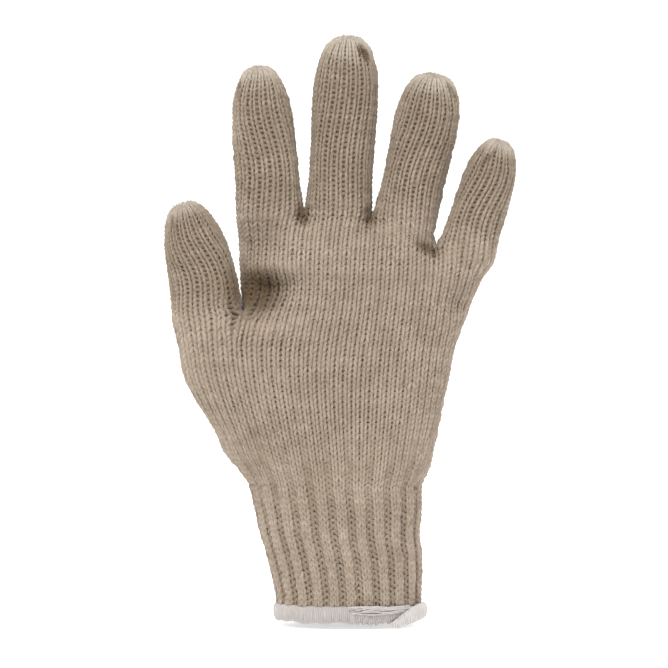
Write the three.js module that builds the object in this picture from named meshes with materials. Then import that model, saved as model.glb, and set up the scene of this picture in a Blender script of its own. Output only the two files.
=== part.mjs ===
// A knitted cotton work glove in the shape that a hand gives it: palm towards -Y, fingers towards +Z, thumb towards
// -X, in millimetres. Every knitted piece is a tube whose surface is a stack of rings, and a ring has one point for
// each wale, the upright column of stitches, counterclockwise from above. The wales run on from piece to piece as the
// knitting does. The origin is the centre of the wrist opening, at the hem's lower edge.
import * as THREE from "three";

const fabric = 2.2; // thickness of the knitted wall
const seamGap = 0.3; // clearance where two pieces meet
const squareness = 2.3; // exponent of the rounded sections: 2 is an ellipse

// Wales shared by two neighbours.
const crotchWales = 2; // between two fingers
const forkWales = 5; // between the thumb and the hand
const forkFrontWales = 2; // of these, on the hand's front

// Heights above the hem's lower edge.
const hemHeight = 6.8;
const cuffHeight = 57.5;
const forkHeight = 129;
const crotchHeight = 171.5;
const littleDrop = 13; // the little finger leaves the hand this much lower than the others
const littleCrotch = crotchHeight - littleDrop;

const palmWidth = 104; // across the four fingers
const palmDepth = 34;
const handWidth = 120; // across the root of the thumb
const handDepth = 38;
const thenarPush = 17; // how far the root of the thumb comes forward
const crotchDepth = 12; // front to back along the line where two fingers part
const cuffWidth = 70;
const cuffDepth = 48;
const ribWales = 3; // in one rib of the cuff and its valley
const ribRelief = 1.3;
const hemThickness = 4.2;
const tailThickness = 4.6; // bunched thread at the hem's right
const tailLength = 19;
const tailStart = 0.035; // where it starts, as a share of the way round from the right towards the palm

const knitColour = 0xb3a28c;
const threadColour = 0xd6d1cb;

// How the solids are divided.
const tipwards = 1.35; // above 1, a digit's rings are closer together towards its tip
const solidRings = 3; // rings of a fingertip that are solid
const digitReach = 0.35; // share of a digit's length over which its base takes the shape of the joined ring
const threadSides = 8;

// Digits. rows: rings of its solid. frontWales: wales across the front. across: middle of the base, from the palm's
// middle, wide: width at the base, both as shares of palmWidth. deep: depth at the base, forward: the base's shift
// towards -Y, both as shares of palmDepth. drop: how far the base's middle is below the crotch beside it, lean, bend:
// sideways run, straight and growing, curl: run towards the palm, all as shares of the length. taper: share of the
// width lost at the tip.
const fingers = {
  index: { name: "index_finger", rows: 12, frontWales: 7, length: 64.5, across: -0.31, wide: 0.278, deep: 0.75,
    forward: 0.02, drop: 0.012, lean: -0.078, bend: 0, curl: 0.11, taper: 0.21 },
  middle: { name: "middle_finger", rows: 13, frontWales: 8, length: 77, across: -0.031, wide: 0.273, deep: 0.77,
    forward: 0, drop: 0.008, lean: 0.06, bend: -0.003, curl: 0.12, taper: 0 },
  ring: { name: "ring_finger", rows: 12, frontWales: 8, length: 64.5, across: 0.232, wide: 0.266, deep: 0.75,
    forward: 0, drop: 0.068, lean: 0.255, bend: -0.045, curl: 0.15, taper: -0.03 },
  little: { name: "little_finger", rows: 11, frontWales: 6, length: 49, across: 0.489, wide: 0.237, deep: 0.66,
    forward: 0.04, drop: 0.08, lean: 0.3, bend: 0, curl: 0.17, taper: 0.2 },
};
const thumb = { name: "thumb", rows: 11, frontWales: 5, length: 47.5, across: -0.56, wide: 0.29, deep: 0.82,
  forward: 0.46, drop: 0, lean: -0.075, bend: -0.16, curl: 0.1, taper: 0.05 };

// Sections of a digit, as shares of its length, width and depth.
const fingerSections = [
  { along: 0.0, wide: 1.0, deep: 1.0 },
  { along: 0.25, wide: 0.965, deep: 0.98 },
  { along: 0.5, wide: 0.985, deep: 0.95 },
  { along: 0.72, wide: 0.98, deep: 0.9 },
  { along: 0.83, wide: 0.9, deep: 0.83 },
  { along: 0.91, wide: 0.75, deep: 0.7 },
  { along: 0.96, wide: 0.58, deep: 0.53 },
  { along: 0.99, wide: 0.39, deep: 0.3 },
  { along: 1.0, wide: 0.25, deep: 0.12 },
];
const thumbSections = [
  { along: 0.0, wide: 1.0, deep: 1.0 },
  { along: 0.25, wide: 0.975, deep: 0.98 },
  { along: 0.5, wide: 0.93, deep: 0.93 },
  { along: 0.68, wide: 0.86, deep: 0.86 },
  { along: 0.82, wide: 0.73, deep: 0.74 },
  { along: 0.92, wide: 0.56, deep: 0.56 },
  { along: 0.98, wide: 0.36, deep: 0.32 },
  { along: 1.0, wide: 0.22, deep: 0.14 },
];
// Sections of the hand, from the lower end of each piece up. left, right: the edges as shares of palmWidth, below the
// fork of handWidth. deep: depth as a share of palmDepth or handDepth. push: forward run of the thumb's side, as a
// share of thenarPush.
const upperSections = [
  { along: 0.0, left: -0.438, right: 0.368, deep: 0.94, push: 0 },
  { along: 1.0, left: -0.445, right: 0.365, deep: 0.86, push: 0 },
];
const middleSections = [
  { along: 0.0, left: -0.42, right: 0.495, deep: 1.0, push: 0.45 },
  { along: 0.35, left: -0.43, right: 0.525, deep: 1.0, push: 0.25 },
  { along: 0.7, left: -0.436, right: 0.556, deep: 0.97, push: 0.08 },
  { along: 1.0, left: -0.438, right: 0.592, deep: 0.94, push: 0 },
];
const lowerSections = [
  { along: 0.0, left: -0.346, right: 0.272, deep: 1.24, push: 0.05 },
  { along: 0.1, left: -0.387, right: 0.3, deep: 1.24, push: 0.15 },
  { along: 0.2, left: -0.433, right: 0.314, deep: 1.17, push: 0.35 },
  { along: 0.33, left: -0.464, right: 0.331, deep: 1.09, push: 0.65 },
  { along: 0.5, left: -0.524, right: 0.351, deep: 1.03, push: 0.95 },
  { along: 0.65, left: -0.567, right: 0.37, deep: 0.99, push: 1.1 },
  { along: 0.8, left: -0.583, right: 0.388, deep: 0.96, push: 1.12 },
  { along: 1.0, left: -0.604, right: 0.429, deep: 0.93, push: 1.05 },
];
// Sections of the cuff, as shares of its width and depth; rib: how much of ribRelief shows.
const cuffSections = [
  { along: 0.0, left: -0.43, right: 0.462, deep: 0.92, rib: 0.5 },
  { along: 0.1, left: -0.433, right: 0.462, deep: 0.94, rib: 1 },
  { along: 0.38, left: -0.48, right: 0.466, deep: 0.97, rib: 1 },
  { along: 0.58, left: -0.523, right: 0.452, deep: 1.0, rib: 1 },
  { along: 0.77, left: -0.554, right: 0.463, deep: 1.0, rib: 0.9 },
  { along: 1.0, left: -0.593, right: 0.466, deep: 0.98, rib: 0.3 },
];
// Folds and hollows in the palm's side. across, wide: middle and half-width as shares of palmWidth. up, tall: height
// and half-height as shares of crotchHeight. push: shares of palmDepth, towards the back where positive.
const folds = [
  { name: "pocket between thumb and index finger", across: -0.3, wide: 0.095, up: 0.818, tall: 0.038, push: 0.2 },
  { name: "pad below the index finger", across: -0.3, wide: 0.11, up: 0.872, tall: 0.03, push: -0.06 },
  { name: "upper edge of the thumb's root", across: -0.31, wide: 0.13, up: 0.735, tall: 0.034, push: -0.15 },
  { name: "hollow of the palm", across: 0.04, wide: 0.16, up: 0.52, tall: 0.16, push: 0.12 },
  { name: "heel below the little finger", across: 0.29, wide: 0.13, up: 0.5, tall: 0.15, push: -0.06 },
  { name: "crease beside the little finger", across: 0.46, wide: 0.05, up: 0.78, tall: 0.03, push: 0.08 },
];

// Sections of the hem's bunched thread. round: place along tailLength. up: height as a share of hemHeight. thick,
// tall: size of the section as shares of tailThickness.
const tailSections = [
  { round: 0.0, up: 0.85, thick: 0.2, tall: 0.35 },
  { round: 0.12, up: 0.8, thick: 0.5, tall: 0.8 },
  { round: 0.35, up: 0.66, thick: 0.6, tall: 1.0 },
  { round: 0.55, up: 0.46, thick: 0.65, tall: 1.15 },
  { round: 0.74, up: 0.22, thick: 0.65, tall: 1.1 },
  { round: 0.88, up: 0.04, thick: 0.6, tall: 0.85 },
  { round: 1.0, up: -0.06, thick: 0.3, tall: 0.4 },
];

const { lerp, clamp, smoothstep } = THREE.MathUtils;
const point = (x, y, z) => new THREE.Vector3(x, y, z);
const ringOf = (count, make) => Array.from({ length: count }, (_, n) => make(n));

// One column of a section table at a place along the piece, on a smooth curve through the table's rows.
function tableValue(table, column, along) {
  const next = table.findIndex((row, i) => i > 0 && (along <= row.along || i === table.length - 1));
  const row = next - 1;
  const span = table[next].along - table[row].along;
  const share = clamp((along - table[row].along) / span, 0, 1);
  const slope = (a, b) => ((table[b][column] - table[a][column]) / (table[b].along - table[a].along)) * span;
  const startSlope = slope(Math.max(row - 1, 0), next);
  const endSlope = slope(row, Math.min(next + 1, table.length - 1));
  const square = share * share;
  const cube = square * share;
  return (
    table[row][column] * (2 * cube - 3 * square + 1) + startSlope * (cube - 2 * square + share) +
    table[next][column] * (3 * square - 2 * cube) + endSlope * (cube - square)
  );
}

// Points at equal distances round a rounded section; the one numbered rightmost, which may be a fraction, lies at +X.
function sectionPoints(halfWide, halfDeep, count, rightmost) {
  const steps = 360;
  const outline = ringOf(steps + 1, (i) => {
    const angle = (2 * Math.PI * i) / steps;
    const round = (value) => Math.sign(value) * Math.abs(value) ** (2 / squareness);
    return point(halfWide * round(Math.cos(angle)), halfDeep * round(Math.sin(angle)), 0);
  });
  const reach = [0];
  for (let i = 1; i <= steps; i += 1) reach.push(reach[i - 1] + outline[i].distanceTo(outline[i - 1]));
  return ringOf(count, (n) => {
    const turn = (n - rightmost) / count;
    const wanted = (turn - Math.floor(turn)) * reach[steps];
    const step = reach.findIndex((r, i) => i > 0 && r >= wanted);
    const share = (wanted - reach[step - 1]) / (reach[step] - reach[step - 1]);
    return outline[step - 1].clone().lerp(outline[step], share);
  });
}

// A digit: a tube on a line that leans, bends and curls, with its rings square to the line.
function digitTube(digit, sideWales, sections, crotch) {
  const wales = 2 * (digit.frontWales + sideWales);
  const base = point(digit.across * palmWidth, -digit.forward * palmDepth, crotch - digit.drop * digit.length);
  const natural = (along) => {
    const run = point(
      digit.length * (digit.lean * along + digit.bend * along * along),
      -digit.length * digit.curl * along * along,
      digit.length * along,
    );
    const ahead = point(digit.lean + 2 * digit.bend * along, -2 * digit.curl * along, 1).normalize();
    const sideways = point(ahead.z, 0, -ahead.x).normalize();
    const backwards = ahead.clone().cross(sideways);
    const tapered = 1 - digit.taper * along * along;
    const halfWide = (palmWidth * digit.wide * tapered * tableValue(sections, "wide", along)) / 2;
    const halfDeep = (palmDepth * digit.deep * tableValue(sections, "deep", along)) / 2;
    return sectionPoints(halfWide, halfDeep, wales, digit.frontWales + sideWales / 2).map((p) =>
      base.clone().add(run).addScaledVector(sideways, p.x).addScaledVector(backwards, p.y),
    );
  };
  return { name: digit.name, rows: digit.rows, natural, reach: digitReach, closed: true };
}

// A piece of the hand between two heights, as wide and deep as its sections say.
function handTube({ name, rows, reach, sections, width, depth, wales, rightmost, bottom, top }) {
  const natural = (along) => {
    const left = width * tableValue(sections, "left", along);
    const right = width * tableValue(sections, "right", along);
    const halfDeep = (depth * tableValue(sections, "deep", along)) / 2;
    const push = thenarPush * tableValue(sections, "push", along);
    return sectionPoints((right - left) / 2, halfDeep, wales, rightmost).map((p) => {
      const thumbwards = smoothstep(-p.x / (right - left), -0.1, 0.5);
      return point((left + right) / 2 + p.x, p.y - push * thumbwards, lerp(bottom, top, along));
    });
  };
  return { name, rows, natural, reach, closed: false };
}

// How far a point of the palm's side is pushed back by the folds.
function foldPush(p) {
  const frontness = clamp(-p.y / (palmDepth / 4), 0, 1);
  return folds.reduce((sum, fold) => {
    const sideways = (p.x / palmWidth - fold.across) / fold.wide;
    const upwards = (p.z / crotchHeight - fold.up) / fold.tall;
    return sum + fold.push * palmDepth * frontness * Math.exp(-(sideways ** 2 + upwards ** 2));
  }, 0);
}

// Brings the shared wales of two neighbours together and gives the ring round both. The wales that the left one
// shares begin at its point leftFront; the right one's begin at its point 0 and run backwards.
function joinRings(left, leftFront, right, shared, depth) {
  for (let k = 0; k <= shared; k += 1) {
    const a = left[leftFront + k];
    const b = right[(right.length - k) % right.length];
    const middle = a.clone().add(b).divideScalar(2);
    if (depth) middle.y = lerp(-depth / 2, depth / 2, k / shared);
    a.copy(middle).x -= seamGap / 2;
    b.copy(middle).x += seamGap / 2;
  }
  return [...left.slice(0, leftFront), ...right.slice(0, right.length - shared), ...left.slice(leftFront + shared)];
}

// Sets the ring that a tube has at its lower or upper end, where that differs from its own section.
function setEnd(tube, end, ring) {
  tube[end] = tube.natural(end === "top" ? 1 : 0).map((p, n) => ring[n].clone().sub(p));
}

// A tube's ring at a place along it: its own section, drawn to the rings it is joined to at its ends.
function tubeRing(tube, along) {
  const ring = tube.natural(along);
  const draw = (offsets, distance) => {
    const near = Math.max(0, 1 - distance / tube.reach) ** 2;
    offsets.forEach((offset, n) => ring[n].add(point(offset.x * near, offset.y * near, offset.z * (1 - distance))));
  };
  if (tube.bottom) draw(tube.bottom, along);
  if (tube.top) draw(tube.top, 1 - along);
  ring.forEach((p) => {
    p.y += foldPush(p);
  });
  return ring;
}

// The knitting, from the fingertips down. Each body's upper ring goes round everything that it carries.
const indexTube = digitTube(fingers.index, crotchWales, fingerSections, crotchHeight);
const middleTube = digitTube(fingers.middle, crotchWales, fingerSections, crotchHeight);
const ringTube = digitTube(fingers.ring, crotchWales, fingerSections, crotchHeight);
const littleTube = digitTube(fingers.little, crotchWales, fingerSections, littleCrotch);
const thumbTube = digitTube(thumb, forkWales, thumbSections, forkHeight);

const indexBase = indexTube.natural(0);
const middleBase = middleTube.natural(0);
const ringBase = ringTube.natural(0);
const twoFront = fingers.index.frontWales + fingers.middle.frontWales;
const threeFront = twoFront + fingers.ring.frontWales;
const twoFingers = joinRings(indexBase, fingers.index.frontWales, middleBase, crotchWales, crotchDepth);
const threeFingers = joinRings(twoFingers, twoFront, ringBase, crotchWales, crotchDepth);
setEnd(indexTube, "bottom", indexBase);
setEnd(middleTube, "bottom", middleBase);
setEnd(ringTube, "bottom", ringBase);

const upperPalm = handTube({
  name: "upper_palm", rows: 2, reach: 1, sections: upperSections, width: palmWidth, depth: palmDepth,
  wales: threeFingers.length, rightmost: threeFront + crotchWales / 2, bottom: littleCrotch, top: crotchHeight,
});
setEnd(upperPalm, "top", threeFingers);

const upperBase = upperPalm.natural(0);
const littleBase = littleTube.natural(0);
const fourFingers = joinRings(upperBase, threeFront, littleBase, crotchWales, crotchDepth);
setEnd(upperPalm, "bottom", upperBase);
setEnd(littleTube, "bottom", littleBase);

const middleRightmost = threeFront + fingers.little.frontWales + crotchWales / 2;
const middlePalm = handTube({
  name: "middle_palm", rows: 5, reach: 0.6, sections: middleSections, width: palmWidth, depth: palmDepth,
  wales: fourFingers.length, rightmost: middleRightmost, bottom: forkHeight, top: littleCrotch,
});
setEnd(middlePalm, "top", fourFingers);

// The fork begins a few wales round the hand's front, so the hand's ring is turned to begin there too.
const turned = (points, steps) => [...points.slice(steps), ...points.slice(0, steps)];
const thumbBase = thumbTube.natural(0);
const handAtFork = turned(middlePalm.natural(0), forkFrontWales);
const fiveDigits = joinRings(thumbBase, thumb.frontWales, handAtFork, forkWales);
setEnd(thumbTube, "bottom", thumbBase);
setEnd(middlePalm, "bottom", turned(handAtFork, handAtFork.length - forkFrontWales));

const lowerWales = fiveDigits.length;
const lowerRightmost = thumb.frontWales + middleRightmost - forkFrontWales;
const lowerPalm = handTube({
  name: "lower_palm", rows: 8, reach: 0.45, sections: lowerSections, width: handWidth, depth: handDepth,
  wales: lowerWales, rightmost: lowerRightmost, bottom: cuffHeight, top: forkHeight,
});

// The cuff: a tube whose wales lie in ribs.
function cuffSection(along, count, rightmost) {
  const left = cuffWidth * tableValue(cuffSections, "left", along);
  const right = cuffWidth * tableValue(cuffSections, "right", along);
  const halfDeep = (cuffDepth * tableValue(cuffSections, "deep", along)) / 2;
  const middleX = (left + right) / 2;
  return sectionPoints((right - left) / 2, halfDeep, count, rightmost).map((p) =>
    point(middleX + p.x, p.y, lerp(hemHeight, cuffHeight, along)),
  );
}
const ribCuff = {
  name: "rib_cuff",
  rows: 6,
  closed: false,
  natural: (along) => {
    const relief = ribRelief * tableValue(cuffSections, "rib", along);
    return cuffSection(along, lowerWales, lowerRightmost).map((p, n) => {
      const inRib = n % ribWales < ribWales / 2;
      const outwards = point(p.x, p.y, 0).normalize();
      return inRib ? p : p.addScaledVector(outwards, -relief);
    });
  },
};
setEnd(lowerPalm, "top", fiveDigits);
setEnd(lowerPalm, "bottom", ribCuff.natural(1));

// A closed solid from a stack of equal rings. A looped stack's last ring meets its first; otherwise both ends are
// closed by fans.
function stackMesh(name, rings, looped, colour) {
  const count = rings[0].length;
  const points = rings.flat();
  const faces = [];
  const layers = looped ? rings.length : rings.length - 1;
  for (let r = 0; r < layers; r += 1) {
    for (let n = 0; n < count; n += 1) {
      const a = r * count + n;
      const b = r * count + ((n + 1) % count);
      const above = ((r + 1) % rings.length) * count - r * count;
      faces.push(a, b, b + above, a, b + above, a + above);
    }
  }
  if (!looped) {
    const fan = (first, forwards) => {
      const hub = points.length;
      const edge = points.slice(first, first + count);
      points.push(edge.reduce((sum, p) => sum.add(p), point(0, 0, 0)).divideScalar(count));
      for (let n = 0; n < count; n += 1) {
        const next = first + ((n + 1) % count);
        faces.push(forwards ? first + n : next, forwards ? next : first + n, hub);
      }
    };
    fan(0, false);
    fan((rings.length - 1) * count, true);
  }
  const geometry = new THREE.BufferGeometry().setFromPoints(points);
  geometry.setIndex(faces);
  geometry.computeVertexNormals();
  const material = new THREE.MeshStandardMaterial({ color: colour, roughness: 0.95, metalness: 0 });
  const mesh = new THREE.Mesh(geometry, material);
  mesh.name = name;
  return mesh;
}

// How steeply a ring rises towards +X near one of its points.
function slopeAt(points, n) {
  let run = 0;
  let rise = 0;
  for (let k = -2; k <= 2; k += 1) {
    const d = points[(n + k + points.length) % points.length].clone().sub(points[n]);
    run += d.x * d.x;
    rise += d.x * d.z;
  }
  return rise / run;
}

// A knitted tube as a wall of fabric: its outer rings, and inner rings set in by the fabric's thickness. An open
// tube's rims are set in level, so that they lie against its neighbour's. A digit's rings are closer together towards
// its tip, and its last rings, where it narrows to a seam, are solid.
function knittedMesh(tube) {
  const { rows, closed } = tube;
  const shares = ringOf(rows + 1, (i) => (closed ? 1 - (1 - i / rows) ** tipwards : i / rows));
  const outer = shares.map((along) => tubeRing(tube, along));
  outer[0].forEach((p) => {
    p.z += seamGap / 2;
  });
  if (!closed) {
    outer[rows].forEach((p) => {
      p.z -= seamGap / 2;
    });
  }
  const inner = outer.map((points, r) =>
    points.map((p, n) => {
      const before = points[(n + points.length - 1) % points.length];
      const after = points[(n + 1) % points.length];
      const round = after.clone().sub(before);
      const isRim = r === 0 || (r === rows && !closed);
      const up = isRim ? point(0, 0, 1) : outer[Math.min(r + 1, rows)][n].clone().sub(outer[r - 1][n]);
      const inwards = up.cross(round).normalize().multiplyScalar(fabric);
      if (isRim) inwards.z = inwards.x * slopeAt(points, n);
      return p.clone().add(inwards);
    }),
  );
  if (closed) return stackMesh(tube.name, [...inner.slice(0, -solidRings).reverse(), ...outer], false, knitColour);
  return stackMesh(tube.name, [...outer, ...inner.reverse()], true, knitColour);
}

// A band of thread round the cuff's edge.
const hemTop = hemHeight - seamGap / 2;
const hemLine = (steps) => cuffSection(0, steps, 0).map((p) => point(p.x, p.y, hemTop / 2));
function outwardsAt(line, n) {
  const round = line[(n + 1) % line.length].clone().sub(line[(n + line.length - 1) % line.length]);
  return round.cross(point(0, 0, 1)).normalize();
}
function overlockHem() {
  const line = hemLine(lowerWales / 2);
  const section = sectionPoints(hemThickness / 2, hemTop / 2, threadSides, 0);
  const rings = line.map((p, n) => {
    const outwards = outwardsAt(line, n);
    return section.map((s) => p.clone().addScaledVector(outwards, s.x - fabric / 2).add(point(0, 0, s.y)));
  });
  return stackMesh("overlock_hem", rings.reverse(), true, threadColour);
}

// The bunched end of the hem's thread, against the outside of the band.
function threadTail() {
  const steps = 180;
  const line = hemLine(steps);
  const length = line.reduce((sum, p, n) => sum + p.distanceTo(line[(n + 1) % steps]), 0);
  const rings = tailSections.map((row) => {
    const place = (tailStart + (row.round * tailLength) / length) * steps;
    const n = steps - Math.round(place);
    const outwards = outwardsAt(line, n);
    const halfThick = (tailThickness * row.thick) / 2;
    const centre = line[n].clone().addScaledVector(outwards, (hemThickness - fabric) / 2 + seamGap + halfThick);
    centre.z = hemHeight * row.up;
    return sectionPoints(halfThick, (tailThickness * row.tall) / 2, threadSides, 0).map((s) =>
      centre.clone().addScaledVector(outwards, s.x).add(point(0, 0, s.y)),
    );
  });
  return stackMesh("thread_tail", rings, false, threadColour);
}

const glove = new THREE.Group();
const knitted = [indexTube, middleTube, ringTube, littleTube, thumbTube, upperPalm, middlePalm, lowerPalm, ribCuff];
glove.add(...knitted.map(knittedMesh), overlockHem(), threadTail());

export default glove;
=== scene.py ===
import math

import bpy
import numpy as np
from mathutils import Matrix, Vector


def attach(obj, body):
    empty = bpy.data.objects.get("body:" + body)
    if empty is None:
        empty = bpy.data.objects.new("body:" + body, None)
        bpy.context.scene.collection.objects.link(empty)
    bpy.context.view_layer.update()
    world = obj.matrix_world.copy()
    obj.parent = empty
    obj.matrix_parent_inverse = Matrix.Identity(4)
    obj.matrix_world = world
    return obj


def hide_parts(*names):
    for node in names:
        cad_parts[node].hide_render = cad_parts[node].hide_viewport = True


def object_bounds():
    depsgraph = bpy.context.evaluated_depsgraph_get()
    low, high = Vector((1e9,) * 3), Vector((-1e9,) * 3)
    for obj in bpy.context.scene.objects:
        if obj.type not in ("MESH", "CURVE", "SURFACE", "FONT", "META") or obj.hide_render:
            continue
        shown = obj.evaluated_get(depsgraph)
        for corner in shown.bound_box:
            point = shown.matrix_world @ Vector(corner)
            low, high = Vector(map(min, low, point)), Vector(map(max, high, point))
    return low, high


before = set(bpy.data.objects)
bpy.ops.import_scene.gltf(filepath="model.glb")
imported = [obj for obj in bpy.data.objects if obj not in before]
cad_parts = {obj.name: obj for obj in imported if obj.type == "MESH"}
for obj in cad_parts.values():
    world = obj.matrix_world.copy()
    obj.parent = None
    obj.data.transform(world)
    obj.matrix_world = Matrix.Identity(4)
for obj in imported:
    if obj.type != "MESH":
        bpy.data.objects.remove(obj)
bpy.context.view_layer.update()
scene = bpy.context.scene
print("frame loaded")

mm = 0.001  # the sizes below are in millimetres
turn = 2 * math.pi

# The knitting: every piece is a tube of rings with one point for each wale, counterclockwise from above, as
# in the solids. The wales run on from piece to piece.
glove = {
    "fabric": 2.2,  # thickness of the wall
    "squareness": 2.3,  # 2 makes the sections ellipses
    "crotchWales": 2,
    "forkWales": 5,
    "forkFrontWales": 2,
    "hemHeight": 6.8,
    "cuffHeight": 57.5,
    "forkHeight": 129.0,
    "littleCrotch": 158.5,
    "crotchHeight": 171.5,
    "palmWidth": 104.0,
    "palmDepth": 34.0,
    "handWidth": 120.0,
    "handDepth": 38.0,
    "thenarPush": 17.0,
    "thenarFrom": 0.1,  # share of the width from the middle, to the right
    "thenarWide": 0.6,
    "crotchDepth": 12.0,
    "cuffWidth": 70.0,
    "cuffDepth": 48.0,
    "ribWales": 3,
    "ribRelief": 1.3,
    "digitReach": 0.35,  # how far the lines where pieces meet are felt along each piece
    "upperReach": 1,
    "middleReach": 0.6,
    "lowerReach": 0.45,
}
fingers = {
    "index": {"frontWales": 7, "length": 64.5, "across": -0.31, "wide": 0.278, "deep": 0.75,
              "forward": 0.02, "drop": 0.012, "lean": -0.078, "bend": 0, "curl": 0.11, "taper": 0.21},
    "middle": {"frontWales": 8, "length": 77.0, "across": -0.031, "wide": 0.273, "deep": 0.77,
               "forward": 0, "drop": 0.008, "lean": 0.06, "bend": -0.003, "curl": 0.12, "taper": 0},
    "ring": {"frontWales": 8, "length": 64.5, "across": 0.232, "wide": 0.266, "deep": 0.75,
             "forward": 0, "drop": 0.068, "lean": 0.255, "bend": -0.045, "curl": 0.15, "taper": -0.03},
    "little": {"frontWales": 6, "length": 49.0, "across": 0.489, "wide": 0.237, "deep": 0.66,
               "forward": 0.04, "drop": 0.08, "lean": 0.3, "bend": 0, "curl": 0.17, "taper": 0.2},
}
thumb = {"frontWales": 5, "length": 47.5, "across": -0.56, "wide": 0.29, "deep": 0.82,
         "forward": 0.46, "drop": 0, "lean": -0.075, "bend": -0.16, "curl": 0.1, "taper": 0.05}
fingerSections = {
    "along": [0, 0.25, 0.5, 0.72, 0.83, 0.91, 0.96, 0.99, 1],
    "wide": [1, 0.965, 0.985, 0.98, 0.9, 0.75, 0.58, 0.37, 0.12],
    "deep": [1, 0.98, 0.95, 0.9, 0.83, 0.7, 0.53, 0.3, 0.07],
}
thumbSections = {
    "along": [0, 0.25, 0.5, 0.68, 0.82, 0.92, 0.98, 1],
    "wide": [1, 0.975, 0.93, 0.86, 0.73, 0.56, 0.36, 0.12],
    "deep": [1, 0.98, 0.93, 0.86, 0.74, 0.56, 0.32, 0.08],
}
upperSections = {
    "along": [0, 1],
    "left": [-0.438, -0.445],
    "right": [0.368, 0.365],
    "deep": [0.94, 0.86],
    "push": [0, 0],
}
middleSections = {
    "along": [0, 0.35, 0.7, 1],
    "left": [-0.42, -0.43, -0.436, -0.438],
    "right": [0.495, 0.525, 0.556, 0.592],
    "deep": [1, 1, 0.97, 0.94],
    "push": [0.45, 0.25, 0.08, 0],
}
lowerSections = {
    "along": [0, 0.1, 0.2, 0.33, 0.5, 0.65, 0.8, 1],
    "left": [-0.346, -0.387, -0.433, -0.464, -0.524, -0.567, -0.583, -0.604],
    "right": [0.272, 0.3, 0.314, 0.331, 0.351, 0.37, 0.388, 0.429],
    "deep": [1.24, 1.24, 1.17, 1.09, 1.03, 0.99, 0.96, 0.93],
    "push": [0.05, 0.15, 0.35, 0.65, 0.95, 1.1, 1.12, 1.05],
}
cuffSections = {
    "along": [0, 0.1, 0.38, 0.58, 0.77, 1],
    "left": [-0.43, -0.433, -0.48, -0.523, -0.554, -0.593],
    "right": [0.462, 0.462, 0.466, 0.452, 0.463, 0.466],
    "deep": [0.92, 0.94, 0.97, 1, 1, 0.98],
    "rib": [0.5, 1, 1, 1, 0.9, 0.3],
}
folds = {  # hollows and pads of the palm's side, each with its across, up, wide, tall and push
    "pocket": (-0.3, 0.818, 0.095, 0.038, 0.2),
    "indexPad": (-0.3, 0.872, 0.11, 0.03, -0.06),
    "thumbRoot": (-0.31, 0.735, 0.13, 0.034, -0.15),
    "palmHollow": (0.04, 0.52, 0.16, 0.16, 0.12),
    "heel": (0.29, 0.5, 0.13, 0.15, -0.06),
    "littleCrease": (0.46, 0.78, 0.05, 0.03, 0.08),
}
# Painted shade: spots where the yarn's colour is darkened for shade, from the palm's side. Each spot has
# its across, up, wide, tall, lean and dark; lean turns it, in radians.
shades = {
    "pocket": (-37.5, 139.5, 10.5, 10.0, 0, 0.9),
    "pocketEdge": (-45.5, 140.5, 5.5, 15.0, 0, 0.4),
    "palmHollow": (4.0, 112.0, 34.0, 42.0, 0, 0.05),
    "aroundStrands": (15.0, 5.2, 15.0, 2.2, 0, 0.12),
    "underIndexPad": (-34.9, 163.0, 9.5, 9.5, 0, 0.2),
    "indexCrotch": (-18.3, 172.5, 2.8, 5.0, 0, 0.8),
    "middleCrotch": (9.8, 171.5, 2.8, 4.5, 0, 0.75),
    "ringCrotch": (34.5, 157.4, 5.5, 2.6, 0.35, 0.8),
    "indexTip": (-45.6, 225.3, 0.9, 6.0, 0.05, 0.6),
    "middleTip": (7.6, 239.8, 2.0, 4.8, -0.5, 1.0),
    "ringTip": (44.7, 224.1, 1.2, 5.0, -0.5, 0.6),
    "littleTip": (60.0, 196.0, 1.5, 5.4, 0.8, 0.55),
    "thumbTip": (-72.8, 168.7, 0.9, 4.5, -0.3, 0.4),
}


def tableValue(table, column, along):  # on a smooth curve through the table's rows
    places, values = table["along"], table[column]
    last = len(places) - 1
    row = next(i for i in range(last) if along <= places[i + 1] or i == last - 1)
    span = places[row + 1] - places[row]
    share = min(max((along - places[row]) / span, 0), 1)

    def slope(a, b):
        return (values[b] - values[a]) / (places[b] - places[a]) * span

    start, end = slope(max(row - 1, 0), row + 1), slope(row, min(row + 2, last))
    square, cube = share**2, share**3
    return (
        values[row] * (2 * cube - 3 * square + 1) + start * (cube - 2 * square + share)
        + values[row + 1] * (3 * square - 2 * cube) + end * (cube - square)
    )


def sectionPoints(halfWide, halfDeep, count, rightmost):  # evenly spaced; number rightmost lies at +X
    angles = np.linspace(0, turn, 361)
    power = 2 / glove["squareness"]
    x = halfWide * np.sign(np.cos(angles)) * np.abs(np.cos(angles)) ** power
    y = halfDeep * np.sign(np.sin(angles)) * np.abs(np.sin(angles)) ** power
    reach = np.concatenate([[0], np.cumsum(np.hypot(np.diff(x), np.diff(y)))])
    wanted = ((np.arange(count) - rightmost) / count % 1) * reach[-1]
    return np.stack([np.interp(wanted, reach, x), np.interp(wanted, reach, y), np.zeros(count)], 1)


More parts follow.
